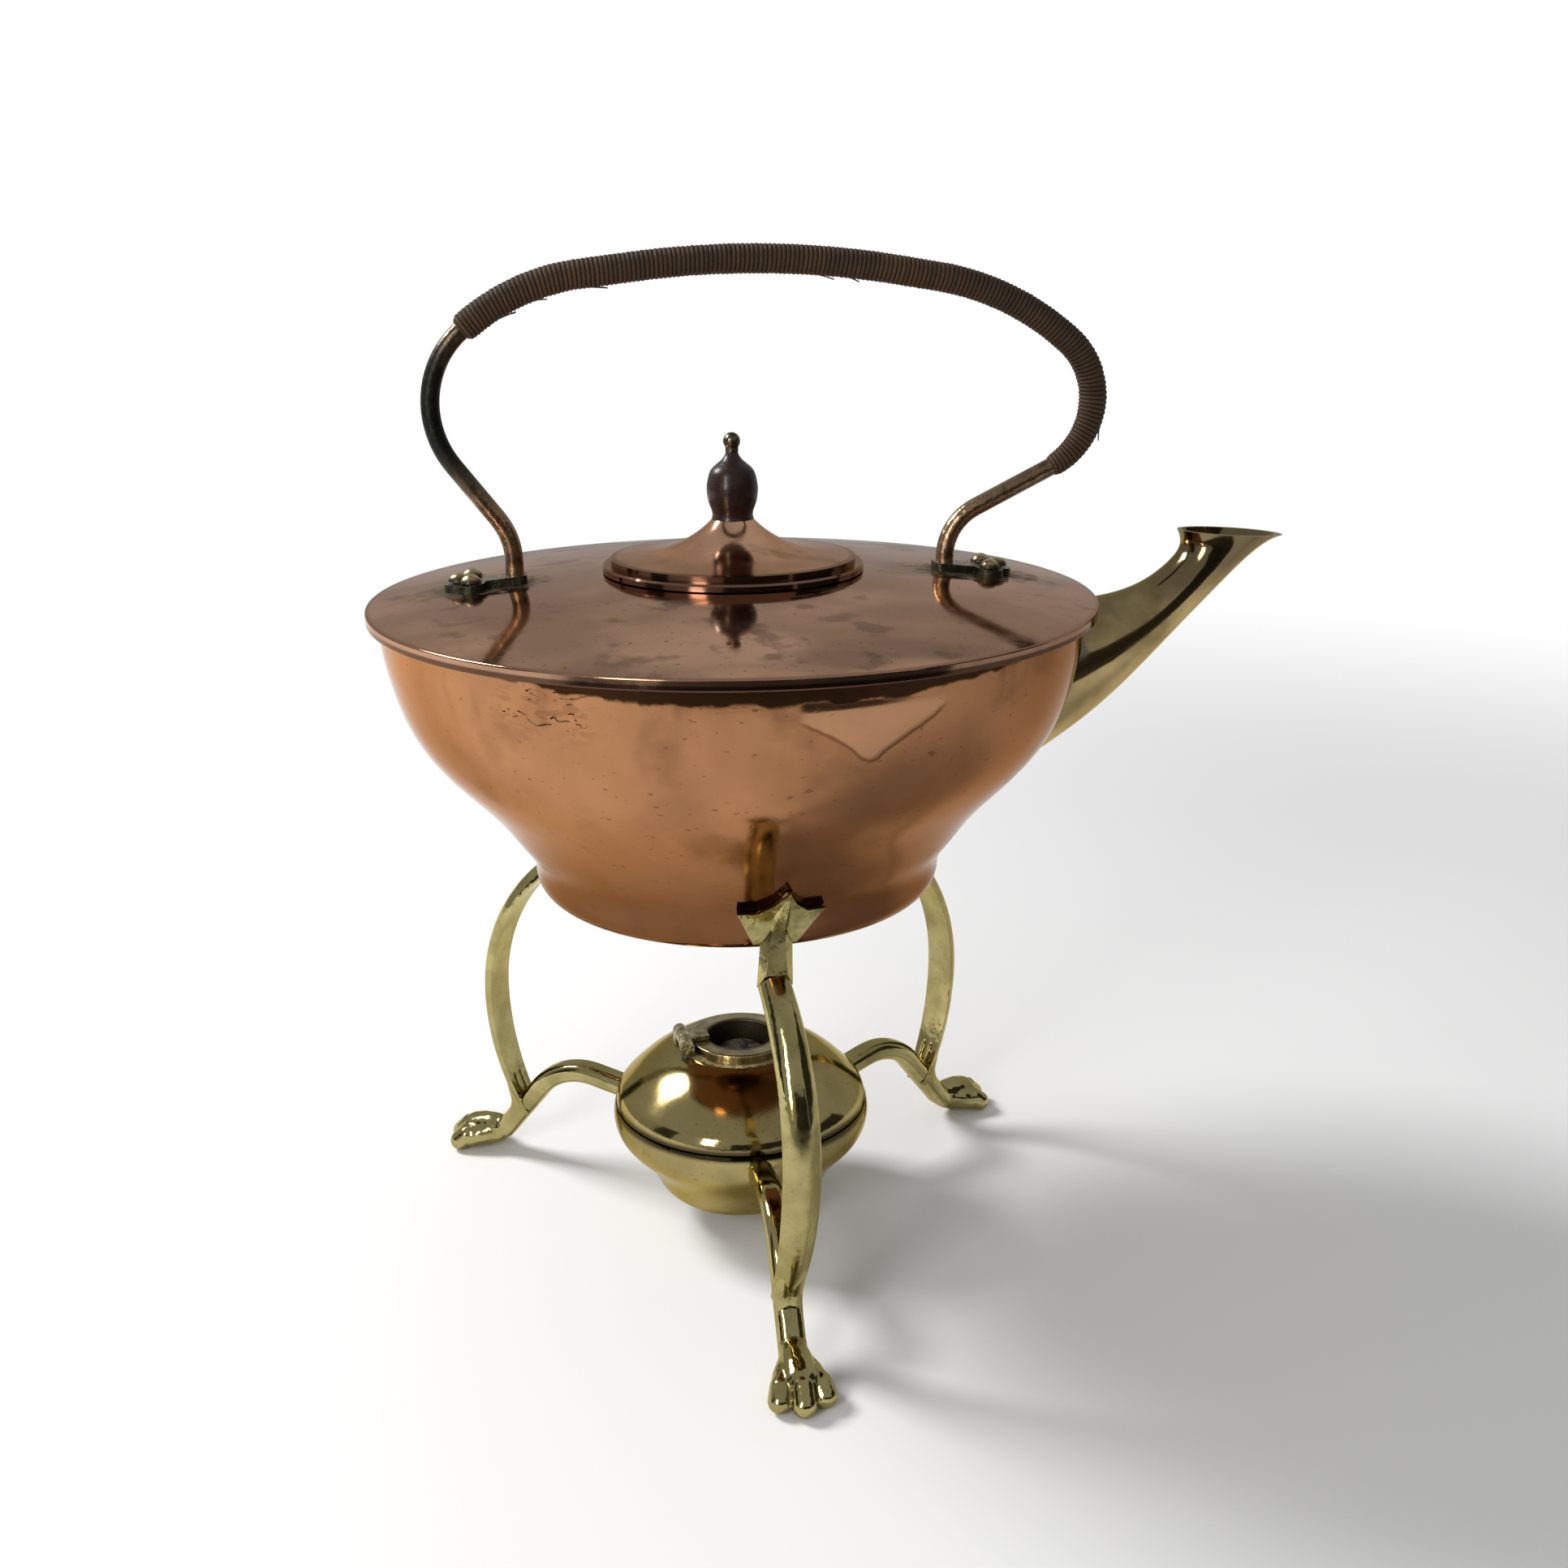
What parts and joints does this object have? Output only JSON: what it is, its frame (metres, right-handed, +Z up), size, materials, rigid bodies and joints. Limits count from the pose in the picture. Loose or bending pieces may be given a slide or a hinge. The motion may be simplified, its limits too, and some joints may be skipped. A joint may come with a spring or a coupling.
{
  "type": "spirit kettle on stand",
  "caption": "Copper tea kettle with lift-off lid and fixed hoop handle, resting in a three-legged brass stand with claw feet over a lift-out spirit lamp.",
  "frame": {"origin": "on the floor, under the middle of the bounding box of the whole object", "axes": "+Z up, +X towards the spout, the front leg stands at -Y"},
  "size_m": [0.272, 0.2166, 0.3],
  "materials": {
    "copper": "polished copper with fine scratches and dark smudges",
    "copper_plate": "dull brown-pink copper patina",
    "spout_brass": "polished brass, slightly tarnished",
    "stand_brass": "aged polished cast brass",
    "lamp_brass": "aged polished brass",
    "dark_brass": "dark tarnished brass",
    "cane": "dark wound cane",
    "knob_wood": "turned dark wood, waxed",
    "cotton": "charred cotton wick"
  },
  "bodies": {
    "stand": {"lamp_cup": "stand_brass", "leg_front": "stand_brass", "leaf_front": "stand_brass", "strut_front": "stand_brass", "paw_front": "stand_brass", "leg_right": "stand_brass", "leaf_right": "stand_brass", "strut_right": "stand_brass", "paw_right": "stand_brass", "leg_left": "stand_brass", "leaf_left": "stand_brass", "strut_left": "stand_brass", "paw_left": "stand_brass"},
    "kettle": {"kettle_bowl": "copper", "top_plate": "copper_plate", "spout": "spout_brass", "handle_bar": "dark_brass", "handle_wrap": "cane", "handle_foot_rear": "dark_brass", "handle_foot_spout": "dark_brass", "foot_rivets_rear": "dark_brass", "foot_rivets_spout": "dark_brass"},
    "lid": {"lid": "copper_plate", "lid_bezel": "copper_plate", "lid_knob": "knob_wood", "knob_stud": "dark_brass", "knob_washer": "dark_brass", "knob_nut": "dark_brass"},
    "lamp": {"lamp_reservoir": "lamp_brass", "lamp_dome": "lamp_brass", "lamp_collar": "lamp_brass", "wick_tube": "lamp_brass", "wick": "cotton", "hinge_knuckles": "lamp_brass", "hinge_pin": "lamp_brass"},
    "snuffer": {"snuffer_arm": "lamp_brass"}
  },
  "joints": [
    {"name": "kettle_lift", "type": "slide", "parent": "stand", "child": "kettle", "axis": [0, 0, 1], "range_m": [0, 0.06]},
    {"name": "lid_lift", "type": "slide", "parent": "kettle", "child": "lid", "axis": [0, 0, 1], "range_m": [0, 0.035]},
    {"name": "lamp_lift", "type": "slide", "parent": "stand", "child": "lamp", "axis": [0, 0, 1], "range_m": [0, 0.04]},
    {"name": "snuffer_hinge", "type": "hinge", "parent": "lamp", "child": "snuffer", "pos_m": [-0.04906, 0.00104, 0.0617], "axis": [0.1219, -0.9925, 0], "range_deg": [0, 110]}
  ]
}
